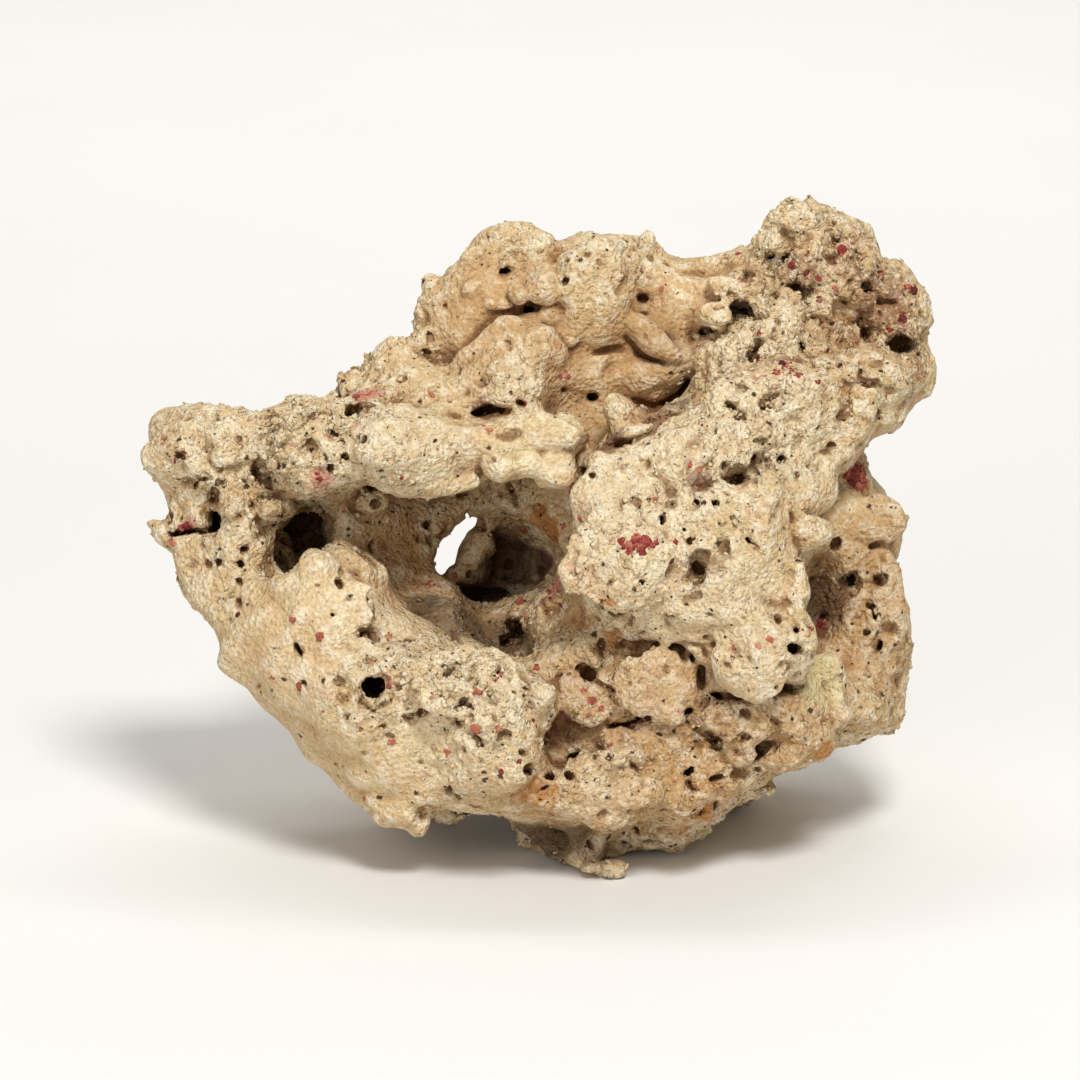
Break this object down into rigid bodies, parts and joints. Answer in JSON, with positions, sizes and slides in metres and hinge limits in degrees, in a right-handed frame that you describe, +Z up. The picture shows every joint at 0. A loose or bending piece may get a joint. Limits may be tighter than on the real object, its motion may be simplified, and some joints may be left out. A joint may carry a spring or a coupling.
{
  "type": "dry reef rock",
  "caption": "Craggy lump of dry, bleached reef limestone with a cave and a slit window, for aquariums and terrariums; rests on its own worn feet.",
  "frame": {"origin": "on the surface the rock rests on, under the middle of its outline from above", "axes": "+Z up, +X to the right and -Y towards the viewer of its face with the cave"},
  "size_m": [0.2804, 0.1926, 0.2244],
  "materials": {
    "coral_limestone": null
  },
  "bodies": {
    "root": {"reef_rock": "coral_limestone"}
  },
  "joints": []
}
